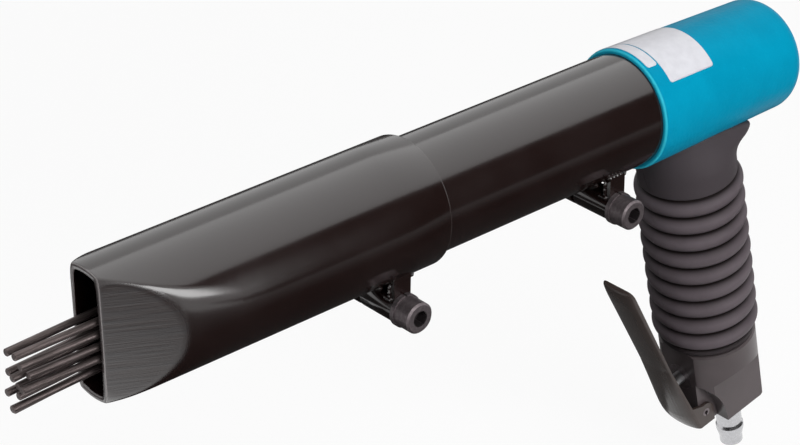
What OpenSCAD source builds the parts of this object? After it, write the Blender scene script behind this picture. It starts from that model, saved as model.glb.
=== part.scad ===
// Pistol needle scaler: an air hammer whose anvil drives loose needles out of a flat nozzle.
// Millimetres. The barrel lies along X with the nozzle towards -X, the handle hangs towards -Z,
// and the origin is the middle of the flat rear face of the head, on the barrel's axis.

/* [Head] */
// Length of the painted head, from its shoulder to its rear face
head_len = 88.4; // [80:0.1:100]
// Diameter of the head at its shoulder
head_front_d = 52.6; // [51:0.1:56]
// Diameter of the head at its rear end
head_rear_d = 49.2; // [46:0.1:50]
// Round of the head's rear edge
head_round = 8; // [4:0.5:10]
// Round of the head's front rim
rim_round = 1.6; // [0.6:0.1:2]
// Wall behind the bore of the head
rear_wall = 8.4; // [6:0.1:12]
// Bore of the head, which holds the cylinder
head_bore_d = 38; // [36:0.1:39]
// Length of the spigot that carries the barrel
spigot_len = 66; // [60:1:70]

/* [Hammer] */
// Outer diameter of the piston
piston_d = 25; // [22:0.1:28]
// Length of the piston
piston_len = 50; // [40:1:60]
// Distance from the back of the cylinder to the resting piston
piston_rest = 24; // [8:1:40]
// Depth of the blow hole in the piston's tail
piston_hole = 22; // [10:1:30]
// Thickness of the cover behind the valve box
cover_h = 6; // [4:0.5:8]
// Thickness of the valve box
valve_box_h = 14; // [12:0.5:18]
// Diameter of the valve disc
valve_disc_d = 20; // [16:0.5:24]
// Thickness of the valve disc
valve_disc_h = 1.2; // [0.8:0.1:2]
// Flutter of the valve disc
valve_flutter = 0.8; // [0.4:0.1:1.2]
// Diameter of the air ports through the valve box
port_d = 4; // [3:0.5:5]
// Distance of the cylinder's exhaust ports from its front end
port_set = 24; // [20:1:30]
// Distance of the cylinder's seal from the spigot's front end
groove_set = 20; // [14:1:20]

/* [Anvil] */
// Diameter of the anvil's shank
shank_d = 18; // [14:0.5:20]
// Length of the shank that stands in the cylinder
shank_in = 6; // [4:0.5:10]
// Thickness of the bush that guides the shank
bush_h = 14; // [10:0.5:18]
// Thickness of the rubber buffer in front of the bush
buffer_h = 6; // [4:0.5:8]
// Thickness of the anvil's shoulder
shoulder_h = 6; // [4:0.5:8]
// Length of the anvil from the buffer to its face
anvil_len = 30.45; // [26:0.05:36]
// Depth of the anvil's face inside the needle holder
face_h = 6.5; // [5:0.5:8]
// Wall of the needle holder round the anvil's face
holder_wall = 2.3; // [2:0.1:3]
// Thickness of the needle holder's plate
plate_h = 12; // [9:0.5:14]
// Room for the needle heads between the plate and the anvil
head_room = 11.1; // [10.5:0.1:13]
// Mean gap from the needle heads back to the anvil
head_gap = 4.5; // [4:0.1:5]

/* [Needles] */
// Diameter of a needle
needle_d = 3; // [2:0.1:3.2]
// Length of a needle with its head
needle_len = 180; // [172:1:188]
// Diameter of a needle's head
needle_head_d = 5.2; // [4.2:0.1:5.8]
// Length of a needle's head
needle_head_h = 3; // [2:0.1:3.5]
// Mean reach of the needles out of the nozzle
needle_reach = 32; // [20:1:40]
// Distance between neighbouring holes of the needle holder
hole_pitch = 6.2; // [6:0.1:6.4]
// Distance between the three columns of needle tips
tip_column = 4.2; // [3.6:0.1:4.3]

/* [Barrel] */
// Outer diameter of the barrel
barrel_d = 48.8; // [47:0.1:49]
// Wall of the barrel
barrel_wall = 2.5; // [2:0.1:2.8]
// Length of barrel that the front tube leaves bare in its usual place
barrel_show = 118.5; // [110:0.5:130]
// Length of barrel inside the front tube
barrel_cover = 73.5; // [66:0.5:80]
// Thickness of the ring that the return spring stands on
seat_h = 3.4; // [2.5:0.1:5]
// Width of that ring
seat_w = 4.4; // [3.5:0.1:5]
// Lip at the barrel's mouth
lip_h = 2; // [1.5:0.1:3]
// Wire of the return spring
spring_wire = 3.2; // [2:0.1:3.4]
// Turns of the return spring
spring_turns = 7; // [5:1:8]

/* [Front tube] */
// Outer diameter of the front tube
front_d = 54; // [53:0.1:56]
// Length of the front tube
front_len = 150.5; // [140:0.5:160]
// Width of the flat mouth over its two plates
mouth_w = 17.8; // [17.4:0.1:20]
// Length of the flattened nose
nose_len = 33; // [28:0.5:36]
// Wall of the nose's plates
nose_wall = 1.7; // [1.5:0.1:1.8]
// Depth of the softer slant behind the nose's plates
soft_h = 2.2; // [1:0.1:3.5]
// Angle of that softer slant to the tube
soft_turn = 14; // [8:0.5:18]

/* [Clamps] */
// Diameter of a clamp lug
lug_d = 12.5; // [11.5:0.1:13]
// Half the length of a pair of lugs
lug_half = 20; // [18:0.5:22]
// Distance of the clamp screw from the rear end of the barrel
barrel_lug_set = 21.2; // [18:0.1:24]
// Distance of the clamp screw from the rear end of the front tube
front_lug_set = 19.4; // [16:0.1:24]
// Width of the clamp's slit
slit_w = 1.8; // [1.2:0.1:2.4]
// Length of the clamp's slit
slit_len = 38; // [34:0.5:44]
// Thickness of the ribs that tie the lugs to the tube
rib_h = 3; // [2:0.1:4]
// Diameter of the clamp screws
screw_d = 8; // [6:0.5:8]
// Length of the clamp screws under the head
screw_len = 40; // [38:1:42]
// Diameter of the screw heads
screw_head_d = 13; // [12.5:0.1:13.5]
// Height of the screw heads
screw_head_h = 8; // [6:0.5:9]
// Hexagon socket of the screws, across its flats
socket_w = 6; // [5:0.5:6]
// Depth of the hexagon socket
socket_h = 4.5; // [3:0.1:5]
// Diameter of the lock washers
washer_d = 14; // [13.6:0.1:15]
// Thickness of the lock washers
washer_h = 2; // [1.4:0.1:2.5]

/* [Handle] */
// Distance of the handle's axis behind the head's shoulder
handle_set = 33.75; // [32:0.05:40]
// Rake of the handle
handle_rake = 11.9; // [8:0.1:14]
// Diameter of the handle tube
pipe_d = 34; // [32:0.1:36]
// Air passage of the handle tube
pipe_bore_d = 18; // [14:0.5:20]
// Diameter of the screwed ends of the handle tube
pipe_end_d = 26; // [24:0.1:27]
// Length of the screwed ends of the handle tube
pipe_end_len = 8.2; // [7.4:0.1:8.4]
// Distance of the head's boss face from the barrel's axis
boss_end = 36; // [35:0.1:38]

/* [Grip] */
// Diameter over the grip's ribs
rib_d = 47.8; // [46:0.1:50]
// Number of ribs
rib_count = 9; // [7:1:9]
// Distance between the ribs
rib_pitch = 9.3; // [8.8:0.05:9.4]
// Round of the ribs
rib_round = 4.85; // [4.4:0.05:4.95]
// Distance of the first rib from the barrel's axis
rib_first = 49.5; // [48:0.1:51]
// Diameter of the collar's waist above the ribs
waist_d = 43.8; // [43:0.1:45]
// Diameter of the collar's tail under the head
tail_d = 41.6; // [39:0.1:43]
// Distance of the tail's middle behind the handle's axis
tail_set = 14; // [10:0.5:16]
// Distance of the tail's edge from the barrel's axis
tail_edge = 36.2; // [34:0.1:38]
// Diameter of the lip at the grip's foot
foot_d = 43.4; // [42.6:0.1:45]
// Height of the lip at the grip's foot
foot_h = 3.1; // [2:0.1:4]

/* [Valve block] */
// Diameter of the valve block
block_d = 44; // [43:0.1:46]
// Length of the valve block
block_len = 41.45; // [40.5:0.05:46]
// Gap between the grip and the valve block
block_gap = 1; // [0.5:0.1:2]
// Width over the two side flats
flat_w = 32.6; // [30:0.1:36]
// Height of the side flats
flat_h = 24.4; // [22:0.1:27]
// Slope of the shoulders above the side flats
shoulder_turn = 40; // [20:1:50]
// Distance of the front flat from the handle's axis
front_flat = 19.6; // [19.2:0.1:20.4]
// Width of the tongue that carries the lever
tongue_w = 18.8; // [17:0.1:19]
// Radius of the pockets beside the tongue
pocket_r = 33; // [30:0.5:36]
// Distance of the pockets' back from the handle's axis at the foot
pocket_back = 8.5; // [8:0.1:9]

/* [Lever] */
// Length of the lever from its pin to its tip
lever_len = 94.5; // [86:0.5:100]
// Width of the lever over its ears
lever_w = 22.4; // [22.4:0.1:24]
// Width of the lever's blade
blade_w = 19; // [17:0.1:20]
// Height of the lever's back over its rim near the pin
lever_depth = 4.5; // [4:0.1:5.2]
// Height of the lever's back over its rim at the fold
fold_depth = 2.1; // [1.8:0.1:2.8]
// Height of the lever's back over its rim near the tip
tip_depth = 3.3; // [2.6:0.1:4]
// Distance of the fold from the pin
fold_set = 38; // [34:0.5:42]
// Angle by which the blade is folded towards the grip
fold_turn = 1.2; // [0.5:0.1:2]
// Round of the tip's corners
tip_round = 3; // [2:0.1:5]
// Sheet of the lever
lever_sheet = 1.5; // [1.2:0.1:1.5]
// Distance of the lever's rim in front of its pin
lever_rim = 5.8; // [5.4:0.1:6.6]
// Angle of the released lever to the handle
lever_open = 17; // [16:0.5:18.5]
// Radius of the lever's ears
ear_r = 4.7; // [4.4:0.1:5]
// Diameter of the roll pin
pin_d = 4; // [3:0.1:4]
// Distance of the pin in front of the handle's axis
pin_set = 16.6; // [16.2:0.1:16.8]
// Height of the pin above the block's foot
pin_h = 7.8; // [7.4:0.1:8.2]

/* [Throttle valve] */
// Height of the valve stem above the block's foot
stem_h = 25.5; // [25:0.1:25.6]
// Diameter of the valve stem
stem_d = 6; // [5:0.1:6.5]
// Diameter of the valve's bore
valve_bore_d = 13.4; // [13:0.1:13.6]
// Distance of the bore's end behind the handle's axis
valve_bore_end = 14; // [13:0.5:16]
// Distance of the valve seat in front of the handle's axis
seat_set = 2; // [1:0.1:3]
// Bore of the valve seat
seat_d = 9; // [8.6:0.1:9.4]
// Length of the seat's bore
seat_bore_len = 8; // [7:0.1:9]
// Diameter of the valve's disc
poppet_d = 11.4; // [11:0.1:11.8]
// Thickness of the valve's disc
poppet_h = 3; // [2.5:0.1:3.5]
// Wire of the valve spring
valve_wire = 1.1; // [0.8:0.1:1.2]
// Turns of the valve spring
valve_turns = 5; // [4:1:5]

/* [Air nipple] */
// Distance of the nipple's axis behind the handle's axis
nipple_set = 7.3; // [7:0.1:8]
// Hexagon of the nipple, across its flats
nipple_hex = 14; // [13:0.5:15]
// Height of the hexagon
nipple_hex_h = 8; // [6:0.5:9]
// Diameter of the neck
nipple_neck_d = 12; // [11:0.1:12.4]
// Length of the neck
nipple_neck_h = 11.3; // [9:0.1:12]
// Diameter of the locking bead
nipple_bead_d = 12.9; // [12.5:0.1:13.5]
// Length of the locking bead
nipple_bead_h = 2.6; // [2:0.1:3.5]
// Length of the cone below the bead
nipple_cone_h = 4.6; // [3:0.1:6]
// Diameter of the tip
nipple_tip_d = 10.7; // [10:0.1:11]
// Length of the tip
nipple_tip_h = 4; // [4:0.1:7]
// Air passage of the nipple
nipple_bore_d = 5.6; // [5:0.1:6]
// Diameter of the nipple's screwed end
nipple_end_d = 13; // [12:0.1:13.4]
// Length of the nipple's screwed end
nipple_end_h = 9; // [7:0.5:9]
// Thickness of the nipple's seal
nipple_seal_h = 1.5; // [1:0.1:2]

/* [Clearances] */
// Radial running clearance of sliding pieces
run_c = 0.05; // [0.03:0.01:0.09]
// Radial clearance of the front tube on the barrel
tube_c = 0.1; // [0.06:0.01:0.1]
// Radial clearance of pieces that are only set in place
set_c = 0.05; // [0.02:0.01:0.1]
// Clearance between moving pieces that don't guide each other
free_c = 0.3; // [0.2:0.05:0.4]
// Radial clearance of a needle in its hole
needle_c = 0.25; // [0.15:0.05:0.3]

/* [Hidden] */
$fn = 64;
// Cuts run this far past the faces they open
eps = 1;

// Stations along the barrel
x_shoulder = -head_len;
x_spigot = x_shoulder - spigot_len;
x_bore_end = -rear_wall;
x_cover = x_bore_end - cover_h;
x_liner = x_cover - valve_box_h;
x_bush_tail = x_spigot + 2;
x_groove = x_spigot + groove_set;
x_bush = x_spigot - bush_h;
x_buffer = x_bush - buffer_h;
x_barrel_front = x_shoulder - barrel_show - barrel_cover;
x_anvil_back = x_buffer - set_c;
x_anvil_face = x_anvil_back - anvil_len;
// The front tube stands where it gives the needles their reach
x_mouth = x_anvil_face - head_gap - needle_len + needle_reach;
x_front_rear = x_mouth + front_len;
x_plate_rear = x_anvil_face - head_room;
x_plate_front = x_plate_rear - plate_h;
x_seat = x_barrel_front + lip_h + seat_h;
x_handle = x_shoulder + handle_set;

// Radii that several pieces share
barrel_r = barrel_d / 2;
barrel_bore_r = barrel_r - barrel_wall;
front_bore_r = barrel_r + tube_c;
head_bore_r = head_bore_d / 2;
liner_bore_r = piston_d / 2 + run_c;
liner_r = head_bore_r - set_c;
holder_r = barrel_bore_r - free_c;
face_r = holder_r - holder_wall - free_c;
seat_ring_r = barrel_bore_r - set_c;
ring_wire = 2.4;
small_wire = 1.8;
liner_groove_r = liner_r - ring_wire + free_c;
pipe_groove_r = pipe_end_d / 2 - ring_wire + free_c;

// Stations down the handle, measured from the barrel's axis
rib_last = rib_first + (rib_count - 1) * rib_pitch;
grip_end = rib_last + rib_round + foot_h;
block_top = grip_end + block_gap;
block_foot = block_top + block_len;
floor_r = rib_d / 2 - rib_round + sqrt(max(0, pow(rib_round, 2) - pow(rib_pitch / 2, 2))) + 0.2;
pin_s = block_foot - pin_h;
stem_s = block_foot - stem_h;

// The lever's back runs straight from the end of its toe to its fold
toe_end = 5;
crown = lever_rim + lever_depth;
back_slope = (lever_depth - fold_depth) / (fold_set - toe_end);
stem_turn = lever_open - atan(back_slope);
back_set = (crown + back_slope * toe_end - lever_sheet) * cos(atan(back_slope));
// Distance in front of the handle's axis at which the stem's round tip meets the released lever
stem_lift = pin_s - stem_s;
touch = pin_set + stem_lift * tan(stem_turn) + back_set / cos(stem_turn);
tip_middle = touch - (stem_d / 2 + run_c) / cos(stem_turn);

// Needles: three columns of four, with the rest place of each tip
needle_rows = 4;
tip_top = [6, -5.2, 3.2];
tip_step = [4.85, 4.1, 8.1];
tip_out = [[2, 0, -3, 0], [1, -1, -1, 2], [0, 0, 1, -1]];
function hole_at(c, r) =
    [x_plate_rear, (c - 1) * hole_pitch, ((needle_rows - 1) / 2 - r) * hole_pitch];
function tip_at(c, r) =
    [x_mouth - needle_reach - tip_out[c][r], (c - 1) * tip_column, tip_top[c] - r * tip_step[c]];
function unit(v) = v / norm(v);

// A solid turned about the barrel's axis from a profile of [radius, x]
module about_x() {
    rotate([0, 90, 0]) rotate_extrude($fn = 96) children();
}

// A cylinder along the barrel's axis from x0 forward to x1
module rod_x(r, x0, x1) {
    translate([min(x0, x1), 0, 0]) rotate([0, 90, 0]) cylinder(r = r, h = abs(x1 - x0), $fn = 96);
}

// A tube along the barrel's axis
module tube_x(r, bore_r, x0, x1) {
    difference() {
        rod_x(r, x0, x1);
        rod_x(bore_r, max(x0, x1) + eps, min(x0, x1) - eps);
    }
}

// A cylinder across the tool, from y0 to y1
module rod_y(r, y0, y1) {
    translate([0, y1, 0]) rotate([90, 0, 0]) cylinder(r = r, h = y1 - y0);
}

// The handle's frame: X forward of its axis, Z down along it from the barrel's axis
module on_handle() {
    translate([x_handle, 0, 0]) rotate([0, 180 - handle_rake, 0]) children();
}

// The lever's frame: Z from the pin to the tip, X towards the grip
module on_lever() {
    on_handle() translate([pin_set, 0, pin_s]) rotate([0, 180 - lever_open, 0]) children();
}

// The valve stem's frame: Z forward out of the valve block
module on_stem() {
    on_handle() translate([0, 0, stem_s]) rotate([0, 90, 0]) children();
}

// The nipple's frame: Z down out of the valve block's foot
module on_nipple() {
    on_handle() translate([-nipple_set, 0, block_foot]) children();
}

// An O-ring round Z between two radii, such as a groove's floor and a bore
module o_ring(floor, bore) {
    rotate_extrude() translate([(floor + bore) / 2, 0]) circle(d = bore - floor - free_c, $fn = 24);
}

// A coil spring round Z: one unbroken tube of six sides with eight rings a curl
coil_rings = 8;
coil_sides = 6;
function coil_middle(i, r, wire, h, turns) =
    [r * cos(i * 360 / coil_rings), r * sin(i * 360 / coil_rings),
     wire / 2 + (h - wire) * i / (turns * coil_rings)];
function coil_point(i, j, r, wire, h, turns) =
    coil_middle(i, r, wire, h, turns)
    + wire / 2 * cos(j * 360 / coil_sides)
      * [cos(i * 360 / coil_rings), sin(i * 360 / coil_rings), 0]
    + [0, 0, wire / 2 * sin(j * 360 / coil_sides)];
function coil_gap(r, wire, h, turns) =
    min([for (i = [0:(turns - 1) * coil_rings])
        norm(coil_middle(i + coil_rings, r, wire, h, turns) - coil_middle(i, r, wire, h, turns))]) - wire;
module coil(r, wire, h, turns) {
    last = turns * coil_rings;
    points = [for (i = [0:last]) for (j = [0:coil_sides - 1]) coil_point(i, j, r, wire, h, turns)];
    sides = [for (i = [0:last - 1]) for (j = [0:coil_sides - 1])
        let (a = i * coil_sides + j,
             b = i * coil_sides + (j + 1) % coil_sides)
        each [[a, a + coil_sides, b], [b, a + coil_sides, b + coil_sides]]];
    first_end = [for (j = [1:coil_sides - 2]) [0, j, j + 1]];
    last_end = [for (j = [1:coil_sides - 2])
        [last * coil_sides, last * coil_sides + j + 1, last * coil_sides + j]];
    polyhedron(points, concat(sides, first_end, last_end));
    echo(str("spring gap ", coil_gap(r, wire, h, turns)));
}

// A solid through closed sections that lie above each other and have the same number of points
module loft(sections) {
    count = len(sections[0]);
    last = len(sections) - 1;
    points = [for (section = sections) each section];
    sides = [for (i = [0:last - 1]) for (j = [0:count - 1])
        let (p = i * count + j,
             q = i * count + (j + 1) % count)
        each [[p, q, q + count], [p, q + count, p + count]]];
    bottom = [for (j = [0:count - 1]) count - 1 - j];
    top = [for (j = [0:count - 1]) last * count + j];
    polyhedron(points, concat(sides, [bottom, top]));
}

// The head's outer form, grown by a margin so that it can also cut the grip's saddle
module head_form(grow) {
    front_r = head_front_d / 2 + grow;
    rear_r = head_rear_d / 2 + grow;
    taper = atan((front_r - rear_r) / head_len);
    round_r = head_round + grow;
    round_x = -head_round;
    round_y = rear_r + head_round * tan(taper) - round_r / cos(taper);
    about_x() {
        translate([round_y, round_x]) circle(r = round_r);
        translate([front_r - rim_round, x_shoulder + rim_round - grow]) circle(r = rim_round, $fn = 32);
        polygon([
            [0, x_shoulder - grow],
            [front_r - rim_round, x_shoulder - grow],
            [front_r - rim_round, x_shoulder + rim_round - grow],
            [front_r - rim_round * tan(taper), x_shoulder + rim_round - grow],
            [round_y + round_r * cos(taper), round_x + round_r * sin(taper)],
            [round_y, round_x],
            [round_y, grow],
            [0, grow]
        ]);
    }
}

// Painted head: bore for the hammer, spigot for the barrel, boss for the handle
module head_housing() {
    gallery_w = 12;
    gallery_r = head_bore_r + 2;
    color([0.02, 0.64, 0.78]) difference() {
        union() {
            head_form(0);
            rod_x(barrel_bore_r - set_c, x_shoulder + eps, x_spigot);
            on_handle() cylinder(d = pipe_d, h = boss_end);
        }
        rod_x(head_bore_r, x_bore_end, x_spigot - eps);
        tube_x(gallery_r, head_bore_r - eps, x_handle + gallery_w, x_handle - gallery_w);
        on_handle() cylinder(d = pipe_bore_d, h = boss_end + eps);
        on_handle() translate([0, 0, boss_end - pipe_end_len - free_c])
            cylinder(r = pipe_end_d / 2 + set_c, h = pipe_end_len + free_c + eps);
    }
}

// Cylinder that the piston runs in, with exhaust ports near its front end
module cylinder_liner() {
    port_x = x_bush_tail + port_set;
    color([0.62, 0.63, 0.65]) difference() {
        tube_x(liner_r, liner_bore_r, x_liner, x_bush_tail);
        for (turn = [0:90:270])
            translate([port_x, 0, 0]) rotate([turn, 0, 0])
                cylinder(d = port_d, h = head_bore_d);
        tube_x(head_bore_r, liner_groove_r, x_groove + ring_wire, x_groove - ring_wire);
    }
}

// Seal between the cylinder and the head
module cylinder_o_ring() {
    color([0.06, 0.06, 0.06]) translate([x_groove, 0, 0]) rotate([0, 90, 0])
        o_ring(liner_groove_r, head_bore_r);
}

// Free piston with a blow hole in its tail and two air grooves
module piston() {
    tail = x_liner - piston_rest;
    nose = tail - piston_len;
    nose_cut = 2;
    color([0.7, 0.7, 0.72]) difference() {
        about_x() polygon([
            [0, tail], [piston_d / 2 - 1, tail], [piston_d / 2, tail - 1],
            [piston_d / 2, nose + nose_cut], [piston_d / 2 - nose_cut, nose], [0, nose]
        ]);
        rod_x(port_d / 2 + 1, tail + eps, tail - piston_hole);
        for (k = [1, 2])
            tube_x(piston_d, piston_d / 2 - 1, tail - k * piston_len / 3, tail - k * piston_len / 3 - 3);
    }
}

// Valve box: a plate with ports and a pocket in which the disc flutters
module valve_box() {
    pocket_r_x = valve_disc_d / 2 + free_c;
    pocket_h = valve_disc_h + valve_flutter + 2 * set_c;
    color([0.72, 0.73, 0.75]) difference() {
        rod_x(liner_r, x_cover, x_liner);
        rod_x(pocket_r_x, x_cover + eps, x_cover - pocket_h);
        rod_x(port_d / 2, x_cover, x_liner - eps);
        for (turn = [0:60:300])
            rotate([turn, 0, 0]) translate([0, 0, valve_disc_d / 2 - port_d])
                rod_x(port_d / 4, x_cover, x_liner - eps);
    }
}

// Thin disc that flutters between the valve box and its cover
module valve_disc() {
    front = x_cover - valve_disc_h - valve_flutter - set_c;
    color([0.55, 0.55, 0.57]) tube_x(valve_disc_d / 2, port_d / 4, front + valve_disc_h, front);
}

// Cover that closes the valve box
module valve_cover() {
    color([0.72, 0.73, 0.75]) difference() {
        rod_x(liner_r, x_bore_end, x_cover);
        rod_x(port_d / 2, x_bore_end + eps, x_cover - eps);
    }
}

// Bush screwed on the spigot, which guides the anvil and holds the cylinder
module anvil_bush() {
    color([0.72, 0.6, 0.32]) difference() {
        union() {
            rod_x(barrel_bore_r - free_c, x_spigot, x_bush);
            rod_x(liner_r, x_spigot + eps, x_bush_tail);
            rod_x(liner_r, x_bush_tail, x_spigot);
        }
        rod_x(shank_d / 2 + run_c, x_bush_tail + eps, x_bush - eps);
    }
}

// Rubber buffer that the anvil comes back to
module buffer_ring() {
    color([0.08, 0.08, 0.08]) tube_x(head_bore_r, shank_d / 2 + 1.5, x_bush, x_buffer);
}

// Mushroom anvil: the piston strikes its shank, and its face strikes the needle heads
module anvil() {
    neck_r = shank_d / 2 + 3;
    color([0.45, 0.45, 0.47]) about_x() polygon([
        [0, x_bush_tail + shank_in], [shank_d / 2 - 1, x_bush_tail + shank_in],
        [shank_d / 2, x_bush_tail + shank_in - 1], [shank_d / 2, x_anvil_back],
        [neck_r, x_anvil_back], [holder_r, x_anvil_face + face_h + shoulder_h],
        [holder_r, x_anvil_face + face_h], [face_r, x_anvil_face + face_h],
        [face_r, x_anvil_face], [0, x_anvil_face]
    ]);
}

// Needle holder: a cup whose plate has one slanted hole for each needle
module needle_holder() {
    color([0.5, 0.5, 0.52]) difference() {
        rod_x(holder_r, x_anvil_face + face_h, x_plate_front);
        rod_x(holder_r - holder_wall, x_anvil_face + face_h + eps, x_plate_rear);
        for (c = [0:2])
            for (r = [0:needle_rows - 1])
                needle_line(c, r, -plate_h, plate_h * 3) cylinder(r = needle_d / 2 + needle_c, h = $len);
    }
}

// Places a child along a needle's line, starting a distance before its hole and given a length
module needle_line(c, r, start, len) {
    d = unit(tip_at(c, r) - hole_at(c, r));
    $len = len;
    translate(hole_at(c, r) + start * d) rotate([0, acos(d[2]), atan2(d[1], d[0])]) children();
}

// One needle with its head, drawn back from its tip
module needle(c, r) {
    d = unit(tip_at(c, r) - hole_at(c, r));
    chamfer = 0.3;
    color([0.3, 0.28, 0.27]) translate(tip_at(c, r) - needle_len * d)
        rotate([0, acos(d[2]), atan2(d[1], d[0])]) rotate_extrude($fn = 24) polygon([
            [0, 0], [needle_head_d / 2 - chamfer, 0], [needle_head_d / 2, chamfer],
            [needle_head_d / 2, needle_head_h - chamfer], [needle_d / 2, needle_head_h],
            [needle_d / 2, needle_len - chamfer], [needle_d / 2 - chamfer, needle_len], [0, needle_len]
        ]);
}

// Return spring between the needle holder and the ring in the barrel's mouth
module return_spring() {
    room = x_plate_front - x_seat - 2 * set_c;
    color([0.35, 0.35, 0.37]) translate([x_seat + set_c, 0, 0]) rotate([0, 90, 0])
        coil(holder_r - spring_wire / 2 - free_c, spring_wire, room, spring_turns);
}

// Ring that the return spring stands on
module spring_seat() {
    color([0.5, 0.5, 0.52]) tube_x(seat_ring_r, seat_ring_r - seat_w, x_seat, x_barrel_front + lip_h);
}

// A clamp's outside on a tube that ends at x_end: two lugs and the ribs that tie them to the tube
module clamp_lugs(tube_r, x_screw) {
    axis_z = -tube_r - lug_d / 2 + 0.4;
    rise = tube_r - sqrt(pow(tube_r, 2) - pow(lug_half - rib_h, 2)) + lug_d / 2 + 1;
    translate([x_screw, 0, axis_z]) rod_y(lug_d / 2, -lug_half, lug_half);
    for (side = [-1, 1])
        translate([x_screw - lug_d / 3, side * (lug_half - rib_h / 2) - rib_h / 2, axis_z])
            cube([lug_d * 2 / 3, rib_h, rise]);
}

// What a clamp cuts away: its slit and the screw's clear and threaded holes
module clamp_cuts(tube_r, x_screw, x_end) {
    axis_z = -tube_r - lug_d / 2 + 0.4;
    translate([x_end - slit_len, -slit_w / 2, axis_z - lug_d])
        cube([slit_len + eps, slit_w, lug_d * 2]);
    translate([x_screw, 0, axis_z]) rod_y(screw_d / 2 + free_c, -lug_half - eps, 0);
    translate([x_screw, 0, axis_z]) rod_y(screw_d / 2 + set_c, 0, lug_half + eps);
}

// A socket head screw along Y, with its head towards -Y
module clamp_screw(tube_r, x_screw) {
    seat_y = -lug_half - washer_h;
    edge = 0.8;
    color([0.1, 0.1, 0.1]) translate([x_screw, 0, -tube_r - lug_d / 2 + 0.4]) difference() {
        rotate([90, 0, 0]) rotate_extrude() polygon([
            [0, -seat_y - screw_len], [screw_d / 2 - edge, -seat_y - screw_len],
            [screw_d / 2, -seat_y - screw_len + edge], [screw_d / 2, -seat_y],
            [screw_head_d / 2, -seat_y], [screw_head_d / 2, -seat_y + screw_head_h - edge],
            [screw_head_d / 2 - edge, -seat_y + screw_head_h], [0, -seat_y + screw_head_h]
        ]);
        translate([0, seat_y - screw_head_h + socket_h, 0]) rotate([90, 0, 0])
            cylinder(d = socket_w / cos(30), h = socket_h + eps, $fn = 6);
    }
}

// A split lock washer under a screw head
module lock_washer(tube_r, x_screw) {
    gap = 1;
    color([0.16, 0.16, 0.17]) translate([x_screw, 0, -tube_r - lug_d / 2 + 0.4]) difference() {
        rod_y(washer_d / 2, -lug_half - washer_h, -lug_half);
        rod_y(screw_d / 2 + set_c, -lug_half - washer_h - eps, -lug_half + eps);
        translate([-gap / 2, -lug_half - washer_h - eps, 0])
            cube([gap, washer_h + 2 * eps, washer_d]);
    }
}

// Barrel: tube on the head's spigot, clamped at its rear end
barrel_screw_x = x_shoulder - barrel_lug_set;
module barrel_tube() {
    lip_r = seat_ring_r - seat_w / 2;
    color([0.08, 0.08, 0.08]) difference() {
        union() {
            rod_x(barrel_r, x_shoulder, x_barrel_front);
            clamp_lugs(barrel_r, barrel_screw_x);
        }
        rod_x(barrel_bore_r, x_shoulder + eps, x_barrel_front + lip_h);
        rod_x(lip_r, x_barrel_front + lip_h + eps, x_barrel_front - eps);
        clamp_cuts(barrel_r, barrel_screw_x, x_shoulder);
    }
}

// The nose's slanted planes seen from above, set in from the outside by a wall
module nose_plan(inset) {
    slant = atan((front_d - mouth_w) / 2 / nose_len);
    mouth = mouth_w / 2 - inset / cos(slant);
    // The softer slant, carried forward to the mouth
    soft_y = front_d / 2 - soft_h;
    soft_x = (soft_y - mouth_w / 2) / tan(slant);
    soft_mouth = soft_y - soft_x * tan(soft_turn) - inset / cos(soft_turn);
    bend = (soft_mouth - mouth) / (tan(slant) - tan(soft_turn));
    end = front_len + eps;
    plan = [
        [-eps, mouth - eps * tan(slant)], [bend, mouth + bend * tan(slant)],
        [end, soft_mouth + end * tan(soft_turn)]
    ];
    translate([x_mouth, 0, -front_d]) linear_extrude(height = 2 * front_d) polygon(concat(
        plan, [for (i = [2:-1:0]) [plan[i][0], -plan[i][1]]]));
}

// Front tube: slides on the barrel, and its nose is cut slanting and closed by two flat plates
front_screw_x = x_front_rear - front_lug_set;
module front_tube() {
    color([0.08, 0.08, 0.08]) difference() {
        union() {
            intersection() {
                rod_x(front_d / 2, x_front_rear, x_mouth);
                nose_plan(0);
            }
            clamp_lugs(front_d / 2, front_screw_x);
        }
        intersection() {
            rod_x(front_bore_r, x_front_rear + eps, x_mouth - eps);
            nose_plan(nose_wall);
        }
        clamp_cuts(front_d / 2, front_screw_x, x_front_rear);
    }
}

// Handle tube screwed into the head and the valve block
module handle_tube() {
    groove_s = [boss_end - pipe_end_len / 2, block_top + pipe_end_len / 2];
    color([0.6, 0.6, 0.62]) on_handle() difference() {
        union() {
            translate([0, 0, boss_end]) cylinder(d = pipe_d, h = block_top - boss_end);
            translate([0, 0, boss_end - pipe_end_len])
                cylinder(d = pipe_end_d, h = block_top - boss_end + 2 * pipe_end_len);
        }
        translate([0, 0, boss_end - pipe_end_len - eps])
            cylinder(d = pipe_bore_d, h = block_top - boss_end + 2 * pipe_end_len + 2 * eps);
        for (s = groove_s)
            translate([0, 0, s - ring_wire / 2]) difference() {
                cylinder(d = pipe_end_d + 2, h = ring_wire);
                translate([0, 0, -eps]) cylinder(r = pipe_groove_r, h = ring_wire + 2 * eps);
            }
    }
}

// Seals at both ends of the handle tube
module handle_o_rings() {
    color([0.06, 0.06, 0.06])
        for (s = [boss_end - pipe_end_len / 2, block_top + pipe_end_len / 2])
            on_handle() translate([0, 0, s])
                o_ring(pipe_groove_r, pipe_end_d / 2 + set_c);
}

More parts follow.
